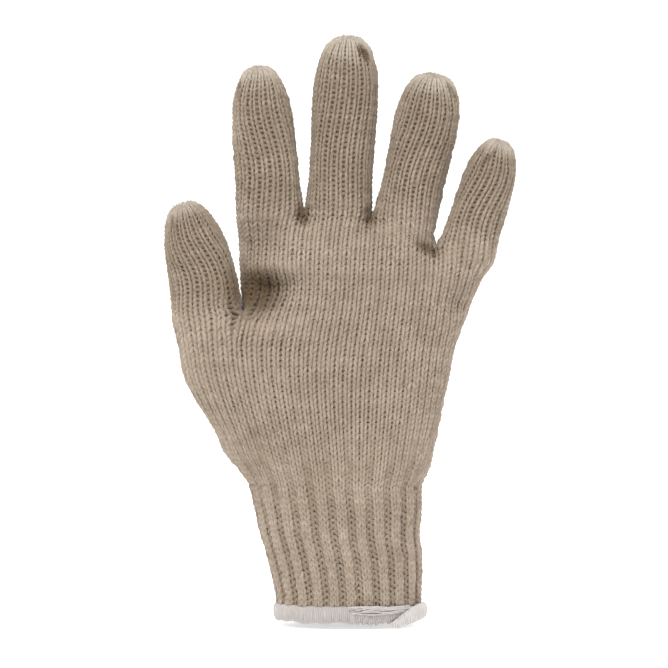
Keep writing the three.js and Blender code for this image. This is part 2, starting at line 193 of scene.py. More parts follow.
def digitTube(digit, sideWales, sections, crotch):  # "natural" gives its rings as if it stood alone
    wales = 2 * (digit["frontWales"] + sideWales)
    rightmost = digit["frontWales"] + sideWales / 2
    length, lean, bend, curl = digit["length"], digit["lean"], digit["bend"], digit["curl"]
    base = np.array([digit["across"] * glove["palmWidth"], -digit["forward"] * glove["palmDepth"],
                     crotch - digit["drop"] * length])

    def natural(along):
        run = length * np.array([lean * along + bend * along**2, -curl * along**2, along])
        ahead = np.array([lean + 2 * bend * along, -2 * curl * along, 1])
        ahead /= np.linalg.norm(ahead)
        sideways = np.array([ahead[2], 0, -ahead[0]])
        sideways /= np.linalg.norm(sideways)
        backwards = np.cross(ahead, sideways)
        halfWide = glove["palmWidth"] * digit["wide"] * (1 - digit["taper"] * along**2) / 2
        halfDeep = glove["palmDepth"] * digit["deep"] / 2
        points = sectionPoints(halfWide * tableValue(sections, "wide", along),
                               halfDeep * tableValue(sections, "deep", along), wales, rightmost)
        return base + run + points[:, :1] * sideways + points[:, 1:2] * backwards

    return {"natural": natural, "reach": glove["digitReach"], "closed": True, "ends": {}}


def smooth(share):  # rises gently from 0 to 1
    share = np.clip(share, 0, 1)
    return share**2 * (3 - 2 * share)


def handTube(sections, width, depth, wales, rightmost, bottom, top, reach):
    def natural(along):
        left, right = (width * tableValue(sections, side, along) for side in ("left", "right"))
        halfDeep = depth * tableValue(sections, "deep", along) / 2
        push = glove["thenarPush"] * tableValue(sections, "push", along)
        points = sectionPoints((right - left) / 2, halfDeep, wales, rightmost)
        fromMiddle = points[:, 0] / (right - left)
        points[:, 1] -= push * smooth((glove["thenarFrom"] - fromMiddle) / glove["thenarWide"])
        return points + [(left + right) / 2, 0, bottom + (top - bottom) * along]

    return {"natural": natural, "reach": reach, "closed": False, "ends": {}}


def foldPush(points):  # how far the palm's side is pushed in
    frontness = np.clip(-points[:, 1] / (glove["palmDepth"] / 4), 0, 1)
    pushed = np.zeros(len(points))
    for across, up, wide, tall, push in folds.values():
        sideways = (points[:, 0] / glove["palmWidth"] - across) / wide
        upwards = (points[:, 2] / glove["crotchHeight"] - up) / tall
        pushed += push * glove["palmDepth"] * frontness * np.exp(-(sideways**2 + upwards**2))
    return pushed


# Brings the shared wales of two rings together, and gives the ring round both.
def joinRings(left, leftFront, right, shared, depth=None):
    for k in range(shared + 1):
        one, other = left[leftFront + k], right[-k % len(right)]
        middle = (one[:3] + other[:3]) / 2
        if depth:
            middle[1] = depth * (k / shared - 0.5)
        for wale in (one, other):
            wale[:3] = middle
            pinned.add((int(wale[3]), int(wale[4])))
    return np.concatenate([left[:leftFront], right[: len(right) - shared], left[leftFront + shared :]])


def numbered(tube, piece):  # its lowest ring; each point also holds the numbers of its piece and its wale
    ring = tube["natural"](0)
    return np.column_stack([ring, np.full(len(ring), pieces.index(piece)), np.arange(len(ring))])


def setEnd(tube, end, ring):  # the tube meets this ring there
    tube["ends"][end] = ring[:, :3] - tube["natural"](end)
    if end == 1:
        tube["carries"] = ring[:, 3:].astype(int)


def tubeRing(tube, along):
    ring = tube["natural"](along)
    for end, offsets in tube["ends"].items():
        distance = abs(along - end)
        near = max(0, 1 - distance / tube["reach"]) ** 2
        ring = ring + offsets * [near, near, 1 - distance]
    ring[:, 1] += foldPush(ring)
    return ring


def cuffRing(along, count, rightmost):
    left, right = (glove["cuffWidth"] * tableValue(cuffSections, side, along) for side in ("left", "right"))
    halfDeep = glove["cuffDepth"] * tableValue(cuffSections, "deep", along) / 2
    height = glove["hemHeight"] + (glove["cuffHeight"] - glove["hemHeight"]) * along
    return sectionPoints((right - left) / 2, halfDeep, count, rightmost) + [(left + right) / 2, 0, height]


pieces = ["index_finger", "middle_finger", "ring_finger", "little_finger", "thumb",
          "upper_palm", "middle_palm", "lower_palm", "rib_cuff"]
pinned = set()  # wales where two pieces part


def joinedTubes():  # from the fingertips down; each body's upper ring goes round everything that it carries
    crotch, fork = glove["crotchWales"], glove["forkWales"]
    tubes = {name + "_finger": digitTube(fingers[name], crotch, fingerSections, glove["crotchHeight"])
             for name in ("index", "middle", "ring")}
    tubes["little_finger"] = digitTube(fingers["little"], crotch, fingerSections, glove["littleCrotch"])
    tubes["thumb"] = digitTube(thumb, fork, thumbSections, glove["forkHeight"])
    base = {name: numbered(tube, name) for name, tube in tubes.items()}
    indexFront = fingers["index"]["frontWales"]
    twoFront = indexFront + fingers["middle"]["frontWales"]
    threeFront = twoFront + fingers["ring"]["frontWales"]
    depth = glove["crotchDepth"]
    twoFingers = joinRings(base["index_finger"], indexFront, base["middle_finger"], crotch, depth)
    threeFingers = joinRings(twoFingers, twoFront, base["ring_finger"], crotch, depth)
    upper = handTube(upperSections, glove["palmWidth"], glove["palmDepth"], len(threeFingers),
                     threeFront + crotch / 2, glove["littleCrotch"], glove["crotchHeight"],
                     glove["upperReach"])
    setEnd(upper, 1, threeFingers)
    base["upper_palm"] = numbered(upper, "upper_palm")
    fourFingers = joinRings(base["upper_palm"], threeFront, base["little_finger"], crotch, depth)
    rightmost = threeFront + fingers["little"]["frontWales"] + crotch / 2
    middle = handTube(middleSections, glove["palmWidth"], glove["palmDepth"], len(fourFingers), rightmost,
                      glove["forkHeight"], glove["littleCrotch"], glove["middleReach"])
    setEnd(middle, 1, fourFingers)
    around = glove["forkFrontWales"]
    handAtFork = np.roll(numbered(middle, "middle_palm"), -around, axis=0)
    fiveDigits = joinRings(base["thumb"], thumb["frontWales"], handAtFork, fork)
    base["middle_palm"] = np.roll(handAtFork, around, axis=0)
    tubes.update(upper_palm=upper, middle_palm=middle)
    for name, tube in tubes.items():
        setEnd(tube, 0, base[name])
    rightmost += thumb["frontWales"] - around
    wales = len(fiveDigits)
    lower = handTube(lowerSections, glove["handWidth"], glove["handDepth"], wales, rightmost,
                     glove["cuffHeight"], glove["forkHeight"], glove["lowerReach"])

    def ribbed(along):
        ring = cuffRing(along, wales, rightmost)
        outwards = ring * [1, 1, 0]
        outwards /= np.linalg.norm(outwards, axis=1, keepdims=True)
        inValley = np.arange(wales) % glove["ribWales"] >= glove["ribWales"] / 2
        relief = glove["ribRelief"] * tableValue(cuffSections, "rib", along)
        return ring - outwards * (inValley * relief)[:, None]

    cuff = {"natural": ribbed, "reach": 1, "closed": False, "ends": {}}
    setEnd(lower, 1, fiveDigits)
    tubes.update(lower_palm=lower, rib_cuff=cuff)
    lowerBase = numbered(lower, "lower_palm")
    lowerBase[:, :3] = ribbed(1)
    setEnd(lower, 0, lowerBase)
    cuff["carries"] = lowerBase[:, 3:].astype(int)
    return tubes


class Wire:  # a node's output, which can be used in Python arithmetic
    def __init__(self, board, socket):
        self.board = board
        self.socket = socket

    def combined(self, operation, a, b):
        vectors = [isinstance(item, Wire) and item.socket.type == "VECTOR" for item in (a, b)]
        if all(vectors):
            return self.board.add("ShaderNodeVectorMath", {"operation": operation}, {0: a, 1: b})
        if any(vectors) and operation == "MULTIPLY":
            inputs = {0: a, "Scale": b} if vectors[0] else {0: b, "Scale": a}
            return self.board.add("ShaderNodeVectorMath", {"operation": "SCALE"}, inputs)
        return self.board.add("ShaderNodeMath", {"operation": operation}, {0: a, 1: b})

    def __add__(self, other):
        return self.combined("ADD", self, other)

    def __radd__(self, other):
        return self.combined("ADD", other, self)

    def __sub__(self, other):
        return self.combined("SUBTRACT", self, other)

    def __rsub__(self, other):
        return self.combined("SUBTRACT", other, self)

    def __mul__(self, other):
        return self.combined("MULTIPLY", self, other)

    def __rmul__(self, other):
        return self.combined("MULTIPLY", other, self)

    def to(self, operation, *others):
        inputs = dict(enumerate([self, *others]))
        return self.board.add("ShaderNodeMath", {"operation": operation}, inputs)


class Board:  # a node tree being wired up
    def __init__(self, tree):
        self.tree = tree

    def add(self, kind, settings=None, inputs=None, output=0):
        node = self.tree.nodes.new(kind)
        for name, value in (settings or {}).items():
            setattr(node, name, value)
        for key, value in (inputs or {}).items():
            self.feed(node.inputs[key], value)
        return Wire(self, node.outputs[output])

    def feed(self, socket, value):
        if isinstance(value, Wire):
            self.tree.links.new(value.socket, socket)
        elif isinstance(value, list):
            for item in value:
                self.tree.links.new(item.socket, socket)
        else:
            socket.default_value = value

    def attribute(self, name, kind="FLOAT"):
        return self.add("GeometryNodeInputNamedAttribute", {"data_type": kind}, {"Name": name})

    def mixed(self, factor, a, b):  # two colours
        return self.add("ShaderNodeMix", {"data_type": "RGBA"}, {0: factor, 6: a, 7: b}, output=2)


def geometryTree(name, sizes, objects=()):  # with a named input for each size
    tree = bpy.data.node_groups.new(name, "GeometryNodeTree")
    kinds = {"Geometry": "Geometry", **dict.fromkeys(sizes, "Float"), **dict.fromkeys(objects, "Object")}
    kinds["Material"] = "Material"
    for label, kind in kinds.items():
        tree.interface.new_socket(label, in_out="INPUT", socket_type="NodeSocket" + kind)
    tree.interface.new_socket("Geometry", in_out="OUTPUT", socket_type="NodeSocketGeometry")
    start = tree.nodes.new("NodeGroupInput")
    board = Board(tree)
    return board, {socket.name: Wire(board, socket) for socket in start.outputs if socket.name}


# A thread along the path. Its points remember where they lie "around" its middle.
def threadTube(board, path, sides, radius, caps):
    curve = board.add("GeometryNodeMeshToCurve", inputs={"Mesh": path})
    ring = board.add("GeometryNodeCurvePrimitiveCircle", inputs={"Resolution": sides, "Radius": 1.0})
    named = {"data_type": "FLOAT_VECTOR", "domain": "POINT"}
    around = {"Geometry": ring, "Name": "around", "Value": board.add("GeometryNodeInputPosition")}
    ring = board.add("GeometryNodeStoreNamedAttribute", named, around)
    thickness = board.attribute("fullness") * radius
    sweep = {"Curve": curve, "Profile Curve": ring, "Scale": thickness, "Fill Caps": caps}
    tube = board.add("GeometryNodeCurveToMesh", inputs=sweep)
    return board.add("GeometryNodeSetShadeSmooth", inputs={"Geometry": tube})


def finishTree(board, shape, material, lining=None):
    whole = board.add("GeometryNodeRealizeInstances", inputs={"Geometry": shape})
    whole = board.add("GeometryNodeSetMaterial", inputs={"Geometry": whole, "Material": material})
    if lining:  # a finished mesh with its own materials
        whole = board.add("GeometryNodeJoinGeometry", inputs={"Geometry": [whole, lining]})
    end = board.tree.nodes.new("NodeGroupOutput")
    board.feed(end.inputs["Geometry"], whole)
    return board.tree


def applied(piece, tree, values):  # runs the tree on the piece and keeps the result as a plain mesh
    modifier = piece.modifiers.new(tree.name, "NODES")
    modifier.node_group = tree
    for item in tree.interface.items_tree:
        if item.in_out == "INPUT" and item.name in values:
            modifier[item.identifier] = values[item.name]
    evaluated = piece.evaluated_get(bpy.context.evaluated_depsgraph_get())
    mesh = bpy.data.meshes.new_from_object(evaluated)
    piece.modifiers.remove(modifier)
    old = piece.data
    piece.data = mesh
    mesh.name = piece.name
    bpy.data.meshes.remove(old)
    return piece


def meshObject(name, points, edges=(), faces=(), attributes=None):
    mesh = bpy.data.meshes.new(name)
    mesh.from_pydata(np.asarray(points, float).tolist(), list(edges), list(faces))
    for label, values in (attributes or {}).items():
        values = np.asarray(values, float)
        kind = "FLOAT_VECTOR" if values.ndim == 2 else "FLOAT"
        field = "vector" if values.ndim == 2 else "value"
        mesh.attributes.new(label, kind, "POINT").data.foreach_set(field, values.ravel())
    mesh.update()
    piece = bpy.data.objects.new(name, mesh)
    scene.collection.objects.link(piece)
    return piece


def standsFor(piece, node):
    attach(piece, "root")
    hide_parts(node)


# Materials. Plies are laid in a yarn by its attributes: "turned" is the twist at a place along it, and
# "around" points from its middle to its skin.
def newMaterial(name, constants):
    material = bpy.data.materials.new(name)
    material.use_nodes = True
    board = Board(material.node_tree)
    surface = material.node_tree.nodes["Principled BSDF"]
    for key, value in constants.items():
        surface.inputs[key].default_value = value
    return material, board, surface


def shaderAttribute(board, name):
    return board.add("ShaderNodeAttribute", {"attribute_name": name}, output="Fac")


def objectNoise(board, scale, detail):
    place = board.add("ShaderNodeTexCoord", output="Object")
    inputs = {"Vector": place, "Scale": scale, "Detail": detail}
    return board.add("ShaderNodeTexNoise", inputs=inputs)


def plyHeight(board):  # the height of three plies that wind round the yarn
    turned = shaderAttribute(board, "turned")
    around = board.add("ShaderNodeAttribute", {"attribute_name": "around"}, output="Vector")
    parts = board.add("ShaderNodeSeparateXYZ", inputs={0: around})
    cosine, sine = (Wire(board, parts.socket.node.outputs[i]) for i in (0, 1))
    triple = 4 * cosine * cosine * cosine - 3 * cosine, 3 * sine - 4 * sine * sine * sine
    return triple[0] * turned.to("COSINE") + triple[1] * turned.to("SINE")


yarnLook = {
    "light": (0.315, 0.256, 0.203, 1),
    "dark": (0.18, 0.138, 0.097, 1),
    "fleck": (0.11, 0.082, 0.05, 1),
    "shade": (0.055, 0.028, 0.005, 1),
    "pale": (0.48, 0.46, 0.4, 1),
    "paleFibres": (1.6, -0.2),  # strength and offset
    "constants": {
        "Roughness": 0.92, "Sheen Weight": 0.14, "Sheen Roughness": 0.5, "Specular IOR Level": 0.15,
    },
    "fibre": 4500.0,  # noise scale of the fibres, per metre
    "fibreContrast": 0.5,
    "cloud": 60.0,
    "cloudContrast": 0.9,
    "plyContrast": 0.12,
    "lightness": 0.6,
    "recessShadeStrength": 0.5,
    "fleckFrom": 0.68,
    "fleckStrength": 0.35,
    "plyRelief": 0.5,
    "relief": 0.5,
    "reliefHeight": 0.0001,
}


def yarnMaterial(name, look):
    material, board, surface = newMaterial(name, look["constants"])
    fibre = objectNoise(board, look["fibre"], 2.0)
    cloud = objectNoise(board, look["cloud"], 3.0)
    plies = plyHeight(board)
    # The tone attribute holds uneven tone with painted shade on fingers and valleys and painted highlight
    # at tips.
    light = (cloud - 0.5) * look["cloudContrast"] + shaderAttribute(board, "tone") + look["lightness"]
    light = light + plies * look["plyContrast"] + (fibre - 0.5) * look["fibreContrast"]
    # Painted shade: the yarn is darkened where its loops' heads and feet lie in.
    light = light - shaderAttribute(board, "recess") * look["recessShadeStrength"]
    colour = board.mixed(light.to("MINIMUM", 1.0).to("MAXIMUM", 0.0), look["dark"], look["light"])
    flecks = fibre.to("GREATER_THAN", look["fleckFrom"])
    colour = board.mixed(flecks * look["fleckStrength"], colour, look["fleck"])
    # Painted highlight: the tips are mixed towards a pale colour, more where the fibres are lighter.
    pale = shaderAttribute(board, "pale") * fibre.to("MULTIPLY_ADD", *look["paleFibres"])
    colour = board.mixed(pale, colour, look["pale"])
    # Painted shade: the colour goes towards deep brown where the shade attribute says.
    colour = board.mixed(shaderAttribute(board, "shade"), colour, look["shade"])
    board.feed(surface.inputs["Base Color"], colour)
    height = plies * look["plyRelief"] + fibre
    relief = {"Height": height, "Strength": look["relief"], "Distance": look["reliefHeight"]}
    board.feed(surface.inputs["Normal"], board.add("ShaderNodeBump", inputs=relief))
    return material


def groundMaterial(name, look):  # painted shade: dark brown, darker still where the shade attribute says
    material, board, surface = newMaterial(name, {"Roughness": 1.0})
    light = (objectNoise(board, look["grain"], 3.0) - 0.5) * look["contrast"] + 0.5
    colour = board.mixed(light - shaderAttribute(board, "shade"), look["dark"], look["light"])
    board.feed(surface.inputs["Base Color"], colour)
    return material


threadLook = {
    **yarnLook,
    "light": (0.37, 0.345, 0.325, 1),
    "dark": (0.3, 0.277, 0.26, 1),
    "fleck": (0.28, 0.255, 0.235, 1),
}
# Painted highlight: the thread's raised end and loose strands get a lighter copy of the thread's colour.
endHighlightLook = {**threadLook, "light": (0.45, 0.427, 0.408, 1), "dark": (0.37, 0.347, 0.33, 1)}
# Painted shade: the dark browns of the shell behind the loops.
groundShadeLook = {
    "light": (0.12, 0.079, 0.038, 1),
    "dark": (0.03, 0.018, 0.006, 1),
    "grain": 900.0,
    "contrast": 0.8,
}
cottonYarn = yarnMaterial("cotton yarn", yarnLook)
hemThread = yarnMaterial("overlock thread", threadLook)
endHighlightThread = yarnMaterial("overlock thread end", endHighlightLook)
shadedCotton = groundMaterial("cotton behind the loops", groundShadeLook)

# The stitches: each course is one closed yarn round its tube, bent into loops.
stitch = {
    "samples": 8,  # points of the yarn in one stitch
    "sides": 5,
    "radius": 0.68,
    "depth": 0.45,  # how far the loops' legs stand out and their heads lie in
    "reach": 0.82,  # half-height of a loop, in courses
    "neck": 0.235,  # how much the legs draw together at the foot, in wales
    "digitNeck": 0.6,  # times that in the fingers
    "closeness": 0.04,  # how much the two legs of a stitch draw together, in wales
    "digitCloseness": 1.4,  # times that in the fingers
    "digitYarn": 0.82,  # and how thick the yarn is there, stretched lengthways
    "digitStart": -6.0,  # where this begins, above the crotch
    "digitFade": 18.0,
    "cuffCloseness": 0.5,
    "digitShade": -0.37,  # painted shade: the fingers are darker, where they curl away from the light above
    "usualWale": 3.3,
    "usualCourse": 2.1,
    "tallest": 1.15,  # the thickest yarn that tall stitches give, as a share of the usual one
    "tightest": 0.79,  # wales narrower than this share of the usual one have thinner yarn
    "leastFullness": 0.5,
    "mostFullness": 1.6,
    "tipFrom": 0.78,  # where a digit's tip begins, as a share of its length
    "tipFade": 0.15,
    "tipHighlightTone": 0.5,  # painted highlight: the tips are paler, where the light from above falls
    "tipHighlightPale": 0.6,
    "valleyEdge": 2.5,
    "valleyWide": 0.65,  # in wales
    # painted shade: the ribs' valleys are darker
    "valleyShade": -0.1,
    "valleyFullness": 0.2,
    "courseTone": 0.04,  # uneven tones from course to course and from stitch to stitch
    "stitchTone": 0.08,
    "shadeCloseness": 1.5,  # how much more the legs draw together in shade
    "standJitter": 0.12,  # unevenness outwards, and upwards in courses
    "riseJitter": 0.05,
    "ribTop": 90.0,  # the ribs fade out in the palm
    "ribFade": 34.0,
    "purl": 1.3,  # how far the stitches of a valley turn round
    "twists": 5.0,  # turns of the plies in one stitch
    "looseness": 0.09,  # uneven stitches, as a share of the yarn's radius
    "seed": 7,
    "groundStep": 2,  # half-courses from row to row of the ground
    "coarseGroundStep": 6,  # in the plain part of the lower palm
    "coarseGroundTop": 42,
    "groundDepth": 0.1,  # behind the middle of the wall
    "groundThickness": 0.2,
}
wander = {  # how far the wales swing sideways along each digit, in wales
    "index_finger": 0.5, "middle_finger": -0.35, "ring_finger": -0.5, "little_finger": -0.45, "thumb": 0.6,
}
courses = {
    "index_finger": 33, "middle_finger": 39, "ring_finger": 34, "little_finger": 27, "thumb": 26,
    "upper_palm": 6, "middle_palm": 14, "lower_palm": 33, "rib_cuff": 21,
}


def knitTree():
    sizes = ["Yarn radius", "Loop reach", "Neck", "Closeness", "Depth"]
    board, given = geometryTree("knit yarn", sizes, ["Ground"])
    directions = ("across", "upwards", "outwards")
    across, upwards, outwards = (board.attribute(name, "FLOAT_VECTOR") for name in directions)
    phase = board.attribute("phase")
    neck = (phase * 2.0).to("SINE") * given["Neck"] * board.attribute("pinch")
    sideways = neck + phase.to("SINE") * given["Closeness"] * board.attribute("closer")
    rise = phase.to("COSINE") * given["Loop reach"] * -1.0
    stand = (phase * 2.0).to("COSINE") * board.attribute("face") * given["Depth"] * -1.0
    bent = {"Geometry": given["Geometry"], "Offset": across * sideways + upwards * rise + outwards * stand}
    path = board.add("GeometryNodeSetPosition", inputs=bent)
    yarn = threadTube(board, path, stitch["sides"], given["Yarn radius"], False)
    ground = board.add("GeometryNodeObjectInfo", inputs={"Object": given["Ground"]}, output="Geometry")
    return finishTree(board, yarn, given["Material"], ground)


def evenShares(tube, steps):  # places along the tube at equal distances over its surface
    if not tube["closed"]:
        return np.linspace(0, 1, steps + 1)
    fine = np.linspace(0, 1, 201)
    rings = np.array([tube["natural"](along) for along in fine])
    reach = np.linalg.norm(np.diff(rings, axis=0), axis=2).mean(1)
    reach = np.concatenate([[0], np.cumsum(reach)])
    return np.interp(np.linspace(0, reach[-1], steps + 1), reach, fine)


def refined(rings, samples):  # more points round each ring, on a smooth curve through the given ones
    before, here, after, beyond = (np.roll(rings, shift, axis=-2) for shift in (1, 0, -1, -2))
    t = (np.arange(samples) / samples)[:, None]
    here, before, after, beyond = (part[..., None, :] for part in (here, before, after, beyond))
    curve = (2 * here + (after - before) * t + (2 * before - 5 * here + 4 * after - beyond) * t**2
             + (3 * here - before - 3 * after + beyond) * t**3) / 2
    return curve.reshape(*rings.shape[:-2], -1, 3)


def unit(vectors):
    return vectors / np.maximum(np.linalg.norm(vectors, axis=-1, keepdims=True), 1e-9)


relax = {
    "rounds": 300,
    "straighten": 0.5,  # how much a wale pulls straight in each round
    "spread": 0.2,  # how much neighbouring wales even out
    "longestStep": 0.2,  # in wales
    "fineness": 8,
    "upright": 2.2,  # wales that the palm starts further from the thumb, so that its middle stands upright
    "uprightHeights": [57.5, 100, 157],
    "uprightShares": [0, 1, 0],
    "uprightFrom": -35.0,  # where this sets in, and over what width on the palm and on the back
    "uprightFront": 30.0,
    "uprightBack": 80.0,
}


def slidPoints(part):  # the rings' points, slid along their own rings
    fine, slide = part["fine"], part["slide"]
    place = (slide * relax["fineness"]) % fine.shape[1]
    low = np.floor(place).astype(int)
    share = (place - low)[..., None]
    rows = np.arange(len(fine))[:, None]
    return fine[rows, low % fine.shape[1]] * (1 - share) + fine[rows, (low + 1) % fine.shape[1]] * share


def uprightStart(rings):  # how far the palm's wales are slid before they relax
    wide = np.where(rings[..., 1] < 0, relax["uprightFront"], relax["uprightBack"])
    high = np.interp(rings[..., 2], relax["uprightHeights"], relax["uprightShares"])
    return relax["upright"] * high * smooth((rings[..., 0] - relax["uprightFrom"]) / wide)


def startingRings(name, tube):
    rings = np.array([tubeRing(tube, along) for along in evenShares(tube, 2 * courses[name])])
    slide = np.tile(np.arange(rings.shape[1], dtype=float), (len(rings), 1))
    free = np.full_like(slide, name != "rib_cuff")
    for piece, wale in pinned:
        if pieces[piece] == name:
            free[0, wale] = 0
    if name in ("middle_palm", "lower_palm"):
        slide += uprightStart(rings)
    return {"fine": refined(rings, relax["fineness"]), "slide": slide, "free": free}


def relaxOnce(tubes, parts):
    points = {name: slidPoints(part) for name, part in parts.items()}
    below = {name: np.full_like(points[name][0], np.nan) for name in parts}
    for name, tube in tubes.items():
        for m, (piece, wale) in enumerate(tube.get("carries", [])):
            below[pieces[piece]][wale] = points[name][-2][m]
    for name, part in parts.items():
        here = points[name]
        up = np.concatenate([here[1:], here[-1:]])
        down = np.concatenate([below[name][None], here[:-1]])
        pull = np.nan_to_num((up + down) / 2 - here) * relax["straighten"]
        pull[-1] = 0
        left, right = np.roll(here, 1, axis=1), np.roll(here, -1, axis=1)
        pull += ((left + right) / 2 - here) * relax["spread"]
        across = (right - left) / 2
        step = (pull * across).sum(2) / np.maximum((across * across).sum(2), 0.01)
        part["slide"] += np.clip(step, -relax["longestStep"], relax["longestStep"]) * part["free"]
        if tubes[name]["closed"]:
            part["slide"][-1] = part["slide"][-2]
    for name, tube in tubes.items():  # a ring that carries others has its wales where theirs are
        for m, (piece, wale) in enumerate(tube.get("carries", [])):
            parts[name]["slide"][-1, m] = m + parts[pieces[piece]]["slide"][0, wale] - wale


def relaxedRings(tubes):  # the wales run straight and evenly over the whole glove, and its shape stays
    parts = {name: startingRings(name, tube) for name, tube in tubes.items()}
    for _ in range(relax["rounds"]):
        relaxOnce(tubes, parts)
    for name, swing in wander.items():
        slide = parts[name]["slide"]
        along = np.linspace(0, 1, len(slide))[:, None]
        slide += swing * np.sin(turn * along) * np.minimum(1, 4 * along * (1 - along))
    return {name: slidPoints(part) for name, part in parts.items()}


def digitness(name, height):  # 1 in the fingers, 0 in the palm
    if name == "lower_palm" or name == "rib_cuff":
        return np.zeros_like(height)
    root = glove["forkHeight"] if name == "thumb" else glove["crotchHeight"]
    if name == "little_finger":
        root = glove["littleCrotch"]
    return smooth((height - root - stitch["digitStart"]) / stitch["digitFade"])


def ribs(wale, height):  # how strong the ribs are at this height, and the same in their valleys only
    fade = np.clip((stitch["ribTop"] - height) / stitch["ribFade"], 0, 1)
    half = glove["ribWales"] / 2
    fromRib = np.abs((wale - 0.5 + half) % glove["ribWales"] - half)
    return fade, fade * np.clip(stitch["valleyEdge"] * (fromRib - half + stitch["valleyWide"]), 0, 1)


def shadeAt(points, outwards):  # 1 in full shade; only the palm's side has any
    facing = np.clip(0.5 - 1.5 * outwards[..., 1], 0, 1)
    bright = np.ones(points.shape[:-1])
    for across, up, wide, tall, lean, dark in shades.values():
        x, z = points[..., 0] - across, points[..., 2] - up
        sine, cosine = math.sin(lean), math.cos(lean)
        sideways, lengthways = (x * cosine - z * sine) / wide, (x * sine + z * cosine) / tall
        bright *= 1 - dark * facing * np.exp(-((sideways**2 + lengthways**2) ** 2))
    return 1 - bright


def jitter(rng, samples, *shape):  # one random value for each stitch, at all its points
    return rng.standard_normal(shape).repeat(samples, 1)


def yarnPaths(name, tube, rings, rng):
    count, samples, wales = courses[name], stitch["samples"], rings.shape[1]
    fine = refined(rings, samples)
    middle = fine[1::2]
    upwards = fine[2::2] - fine[:-1:2]
    across = np.roll(middle, -(samples // 2), axis=1) - np.roll(middle, samples // 2, axis=1)
    outwards = unit(np.cross(across, upwards))
    wale = np.arange(wales * samples) / samples
    phase = turn * (wale + 0.5)
    digit = digitness(name, middle[..., 2])
    fade, valley = ribs(wale, middle[..., 2])
    face = 1 - stitch["purl"] * valley
    tip = (np.arange(count) / count - stitch["tipFrom"]) / stitch["tipFade"]
    tip = np.clip(tip, 0, 1)[:, None] * tube["closed"]

    width, height = np.linalg.norm(across, axis=2), np.linalg.norm(upwards, axis=2)
    size = np.minimum(height / stitch["usualCourse"], stitch["tallest"])
    size = np.maximum(size, width / stitch["usualWale"])
    size = np.minimum(size, width / (stitch["tightest"] * stitch["usualWale"]))
    fullness = np.clip(size, stitch["leastFullness"], stitch["mostFullness"])
    fullness = fullness * (1 + stitch["looseness"] * jitter(rng, samples, count, wales))
    thin = (stitch["digitYarn"] - 1) * digit * (1 - tip)
    fullness = fullness * (1 + stitch["valleyFullness"] * valley + thin)
    tone = stitch["courseTone"] * rng.standard_normal((count, 1))
    tone = tone + stitch["stitchTone"] * jitter(rng, samples, count, wales)
    # Painted shade on the fingers and in the ribs' valleys, painted highlight at the tips.
    tone = tone + stitch["digitShade"] * digit + stitch["tipHighlightTone"] * tip + stitch["valleyShade"] * valley

    loops = middle - np.cos(phase)[None, :, None] * stitch["reach"] * upwards
    shade = shadeAt(loops, outwards)
    closer = 1 + (stitch["digitCloseness"] - 1) * digit + (stitch["cuffCloseness"] - 1) * fade
    closer = closer + stitch["shadeCloseness"] * shade
    middle = middle - outwards * glove["fabric"] / 2
    middle = middle + outwards * (stitch["standJitter"] * jitter(rng, samples, count, wales, 1))
    middle = middle + upwards * (stitch["riseJitter"] * jitter(rng, samples, count, wales, 1))
    number = np.arange(face.size).reshape(face.shape)
    edges = np.stack([number, np.roll(number, -1, axis=1)], -1).reshape(-1, 2)
    phase = np.tile(phase, (count, 1))
    values = {
        "phase": phase, "turned": phase * stitch["twists"], "face": face, "closer": closer,
        "pinch": 1 + (stitch["digitNeck"] - 1) * digit, "fullness": fullness, "tone": tone, "shade": shade,
        "pale": np.broadcast_to(stitch["tipHighlightPale"] * tip, face.shape),
        # painted shade in the recesses, 1 where the loops lie deepest
        "recess": 0.5 + 0.5 * face * np.cos(2 * phase),
    }
    attributes = {key: value.ravel() for key, value in values.items()}
    attributes["across"] = across.reshape(-1, 3) * mm
    attributes["upwards"] = upwards.reshape(-1, 3) * mm
    attributes["outwards"] = outwards.reshape(-1, 3)
    return meshObject(name + "_knit", middle.reshape(-1, 3) * mm, edges.tolist(), attributes=attributes)


fuzz = {
    "hairs": {"lower_palm": 1.6, "digit": 6.0, "other": 4.0},  # in each stitch
    "length": 1.5,
    "shares": (0.4, 1.6),  # the shortest and the longest, as shares of that
    "width": 0.12,
    "sunk": 0.2,
    "spread": 1.1,
}


def hairs(name, rings, closed, rng):  # loose fibres, each one thin triangle
    dense = fuzz["hairs"].get(name, fuzz["hairs"]["digit" if closed else "other"])
    count = int(dense * (len(rings) // 2) * rings.shape[1])
    row = rng.integers(1, len(rings) - 1, count)
    wale = rng.integers(0, rings.shape[1], count)
    corner = rings[row, wale]
    across, upwards = rings[row, (wale + 1) % rings.shape[1]] - corner, rings[row + 1, wale] - corner
    outwards = unit(np.cross(across, upwards))
    share = rng.random((count, 2))
    root = corner + across * share[:, :1] + upwards * share[:, 1:] - outwards * fuzz["sunk"]
    lean = unit(outwards + fuzz["spread"] * rng.standard_normal((count, 3)))
    side = unit(np.cross(lean, outwards + 0.01)) * fuzz["width"] / 2
    tip = root + lean * fuzz["length"] * rng.uniform(*fuzz["shares"], (count, 1))
    return np.stack([root - side, root + side, tip], 1).reshape(-1, 3)


def shellFaces(count, wales, closed):  # quads from row to row, and a face over each end of a closed finger
    faces = []
    for row in range(count - 1 if closed else count):
        above = ((row + 1) % count - row) * wales
        for n in range(wales):
            a, b = row * wales + n, row * wales + (n + 1) % wales
            faces.append((a, b, b + above, a + above))
    if closed:
        faces.append(tuple(range(wales))[::-1])
        faces.append(tuple(range((count - 1) * wales, count * wales)))
    return faces
